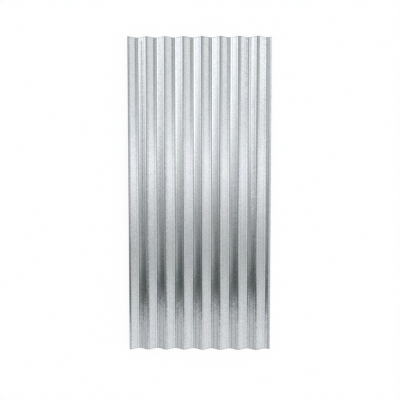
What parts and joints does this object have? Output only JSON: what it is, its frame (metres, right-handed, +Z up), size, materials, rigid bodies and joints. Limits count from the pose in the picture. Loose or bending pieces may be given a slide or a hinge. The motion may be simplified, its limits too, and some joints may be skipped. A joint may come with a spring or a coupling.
{
  "type": "corrugated metal sheet",
  "caption": "Rectangular galvanised steel sheet with even rounded corrugations along its length, for roofing and cladding; it lies flat and laps onto its neighbours at the sides and ends.",
  "frame": {"origin": "centre of the sheet's footprint, on the surface that its valleys lie on", "axes": "+Y along the corrugations, +X across them from the edge that turns down to the edge that turns up, +Z up out of the front face"},
  "size_m": [0.5932, 1.304, 0.0185],
  "materials": {
    "galvanised_steel": "hot-dip zinc, satin, with a fine spangle"
  },
  "bodies": {
    "root": {"corrugated_sheet": "galvanised_steel"}
  },
  "joints": []
}
